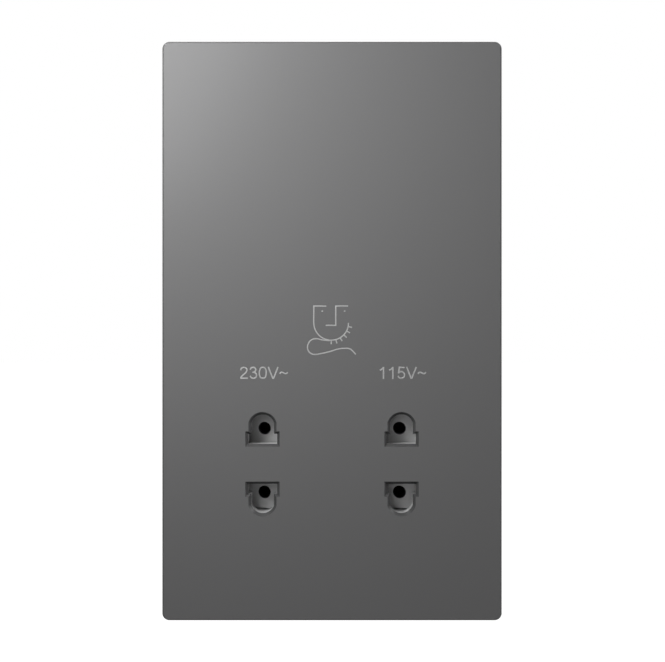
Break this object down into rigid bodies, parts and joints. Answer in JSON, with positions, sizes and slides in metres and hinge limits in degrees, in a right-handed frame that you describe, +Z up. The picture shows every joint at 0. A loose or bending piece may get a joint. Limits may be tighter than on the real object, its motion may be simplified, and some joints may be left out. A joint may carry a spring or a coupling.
{
  "type": "shaver socket",
  "caption": "Flush two-gang shaver socket with two shuttered outlets, an isolating transformer and a slim metal clip-on front plate.",
  "frame": {"origin": "centre of the wall box's two fixing holes, on the wall's face, behind the front plate's centre", "axes": "+X to the right as seen from the room, +Z up, +Y into the wall; the plate stands out towards -Y"},
  "size_m": [0.086, 0.044, 0.1466],
  "materials": {
    "plate_metal": "fine satin",
    "housing_plastic": "satin moulding",
    "cover_plastic": "satin moulding",
    "shutter_plastic": "smooth moulding",
    "spring_steel": "drawn wire",
    "carrier_plastic": "satin moulding",
    "block_plastic": "satin moulding",
    "contact_brass": "rolled strip",
    "core_steel": "varnished laminations",
    "bobbin_plastic": "glass-filled moulding",
    "winding_copper": "enamelled wire",
    "winding_tape": "polyester tape",
    "cutout_case": "plain",
    "screw_steel": "zinc plated"
  },
  "bodies": {
    "fixed_body": {"front_plate": "plate_metal", "front_housing": "housing_plastic", "outlet_insert": "housing_plastic", "rear_cover": "cover_plastic", "left_shutter_spring": "spring_steel", "right_shutter_spring": "spring_steel", "contact_carrier": "carrier_plastic", "terminal_block": "block_plastic", "common_contact": "contact_brass", "contact_230v": "contact_brass", "contact_115v": "contact_brass", "live_terminal": "contact_brass", "neutral_terminal": "contact_brass", "earth_terminal": "contact_brass", "earth_spring": "contact_brass", "core_e_laminations": "core_steel", "core_i_laminations": "core_steel", "bobbin": "bobbin_plastic", "primary_winding": "winding_copper", "secondary_winding": "winding_copper", "winding_tape": "winding_tape", "thermal_cutout": "cutout_case", "terminal_screws": "screw_steel", "case_screws": "screw_steel", "block_screws": "screw_steel"},
    "left_shutter": {"left_shutter": "shutter_plastic"},
    "right_shutter": {"right_shutter": "shutter_plastic"}
  },
  "joints": [
    {"name": "left_shutter_slide", "type": "slide", "parent": "fixed_body", "child": "left_shutter", "axis": [1, 0, 0], "range_m": [0, 0.0088], "stiffness_N_per_m": 60, "springref_m": -0.004, "deforming": ["left_shutter_spring"]},
    {"name": "right_shutter_slide", "type": "slide", "parent": "fixed_body", "child": "right_shutter", "axis": [1, 0, 0], "range_m": [0, 0.0088], "stiffness_N_per_m": 60, "springref_m": -0.004, "deforming": ["right_shutter_spring"]}
  ]
}
